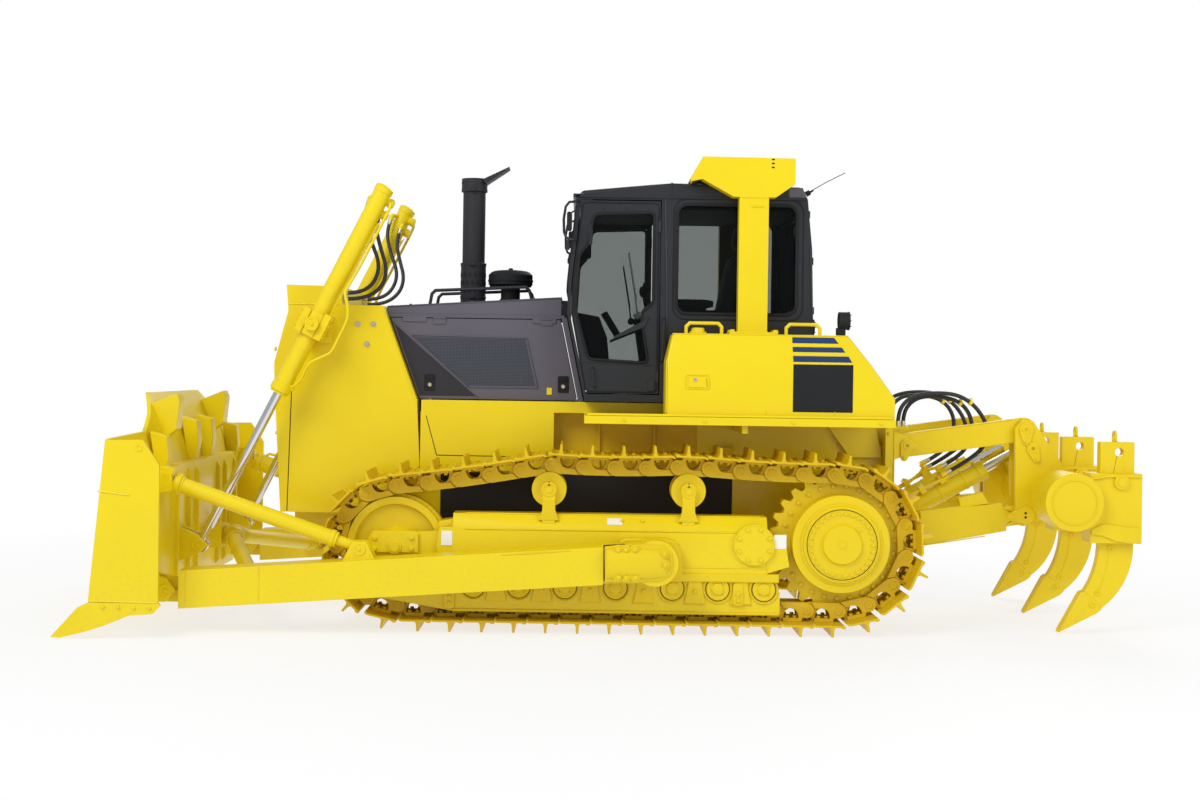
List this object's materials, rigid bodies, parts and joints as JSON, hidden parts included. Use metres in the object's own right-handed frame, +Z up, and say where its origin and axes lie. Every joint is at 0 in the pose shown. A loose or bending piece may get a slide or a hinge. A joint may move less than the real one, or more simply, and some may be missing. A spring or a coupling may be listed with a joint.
{
  "type": "crawler bulldozer",
  "caption": "Crawler bulldozer with a semi-U blade on push arms and lift cylinders, a cab under a roll-over frame, and a shank ripper on parallel links.",
  "frame": {"origin": "on the ground, half-way along and half-way across the machine", "axes": "+X forwards, towards the blade; +Y to the machine's left; +Z up"},
  "size_m": [7.27, 3.64, 3.288],
  "materials": {
    "yellow_paint": "satin",
    "black_paint": "satin",
    "hood_grey": "satin",
    "cast_yellow": "rough painted",
    "glass": "clear",
    "chrome_rod": "polished",
    "seat_cloth": "woven",
    "core_black": "matt",
    "lamp_glass": "gloss",
    "engine_grey": "matt",
    "rubber": "matt"
  },
  "bodies": {
    "tractor": {"track_left": "yellow_paint", "track_right": "yellow_paint", "sprockets": "yellow_paint", "idlers": "yellow_paint", "rollers": "yellow_paint", "track_frames": "yellow_paint", "main_frame": "yellow_paint", "engine_block": "engine_grey", "radiator_guard": "yellow_paint", "radiator_core": "core_black", "lift_hoses": "rubber", "ripper_hoses": "rubber", "hood_top": "hood_grey", "deck": "yellow_paint", "tanks": "yellow_paint", "cab_shell": "black_paint", "cab_roof": "black_paint", "cab_glass": "glass", "operator_seat": "seat_cloth", "rollover_frame": "yellow_paint", "exhaust_stack": "black_paint", "air_cleaner": "black_paint", "grab_rails": "black_paint", "work_lamps": "lamp_glass", "ripper_mount": "yellow_paint"},
    "blade": {"blade": "yellow_paint", "cutting_edge": "yellow_paint", "push_arms": "yellow_paint", "centre_struts": "yellow_paint", "brace_left": "yellow_paint", "tilt_cylinder_right": "yellow_paint"},
    "lift_barrels": {"lift_barrels": "yellow_paint"},
    "lift_rods": {"lift_rods": "chrome_rod"},
    "ripper_arm": {"ripper_lower_arm": "yellow_paint"},
    "ripper_links": {"ripper_upper_links": "yellow_paint"},
    "ripper_beam": {"ripper_beam": "yellow_paint", "ripper_shanks": "yellow_paint"},
    "ripper_barrels": {"ripper_barrels": "yellow_paint"},
    "ripper_rods": {"ripper_rods": "chrome_rod"},
    "cab_door_left": {"cab_door_left": "black_paint", "door_glass_left": "glass"},
    "cab_door_right": {"cab_door_right": "black_paint", "door_glass_right": "glass"},
    "hood_door_left": {"hood_door_left": "hood_grey"},
    "hood_door_right": {"hood_door_right": "hood_grey"}
  },
  "joints": [
    {"name": "blade_lift", "type": "hinge", "parent": "tractor", "child": "blade", "pos_m": [-0.264, 0, 0.512], "axis": [0, -1, 0], "range_deg": [-8, 18]},
    {"name": "ripper_lift", "type": "hinge", "parent": "tractor", "child": "ripper_arm", "pos_m": [-2.104, 0, 0.662], "axis": [0, 1, 0], "range_deg": [-38, 42]},
    {"name": "ripper_link_turn", "type": "hinge", "parent": "tractor", "child": "ripper_links", "pos_m": [-2.096, 0, 1.274], "axis": [0, 1, 0], "range_deg": [-39, 43]},
    {"name": "ripper_beam_level", "type": "hinge", "parent": "ripper_arm", "child": "ripper_beam", "pos_m": [-2.959, 0, 0.788], "axis": [0, 1, 0], "range_deg": [-43, 39]},
    {"name": "ripper_barrel_swing", "type": "hinge", "parent": "tractor", "child": "ripper_barrels", "pos_m": [-2.077, 0, 0.74], "axis": [0, 1, 0], "range_deg": [-30, 33], "deforming": ["ripper_hoses"]},
    {"name": "ripper_rod_slide", "type": "slide", "parent": "ripper_barrels", "child": "ripper_rods", "axis": [-0.8754, 0, 0.4834], "range_m": [-0.205, 0.225]},
    {"name": "lift_swing", "type": "hinge", "parent": "tractor", "child": "lift_barrels", "pos_m": [2.126, 0, 2.076], "axis": [0, -1, 0], "range_deg": [-8.5, 18], "deforming": ["lift_hoses"]},
    {"name": "lift_slide", "type": "slide", "parent": "lift_barrels", "child": "lift_rods", "axis": [0.4481, 0, -0.894], "range_m": [-0.91, 0.41]},
    {"name": "cab_door_left", "type": "hinge", "parent": "tractor", "child": "cab_door_left", "pos_m": [-0.293, 0.757, 2.3], "axis": [0, 0, 1], "range_deg": [0, 85]},
    {"name": "hood_door_left", "type": "hinge", "parent": "tractor", "child": "hood_door_left", "pos_m": [0.885, 0.508, 2.142], "axis": [1, 0, 0], "range_deg": [0, 80]},
    {"name": "cab_door_right", "type": "hinge", "parent": "tractor", "child": "cab_door_right", "pos_m": [-0.293, -0.757, 2.3], "axis": [0, 0, -1], "range_deg": [0, 85]},
    {"name": "hood_door_right", "type": "hinge", "parent": "tractor", "child": "hood_door_right", "pos_m": [0.885, -0.508, 2.142], "axis": [-1, 0, 0], "range_deg": [0, 80]}
  ],
  "couplings": [
    {"joint": "ripper_link_turn", "follows": "ripper_lift", "ratio": 1},
    {"joint": "ripper_beam_level", "follows": "ripper_lift", "ratio": -1},
    {"joint": "ripper_barrel_swing", "follows": "ripper_lift", "ratio": 0.76},
    {"joint": "ripper_rod_slide", "follows": "ripper_lift", "m_per_rad": 0.292},
    {"joint": "lift_swing", "follows": "blade_lift", "ratio": 0.94},
    {"joint": "lift_slide", "follows": "blade_lift", "m_per_rad": -2.84}
  ]
}
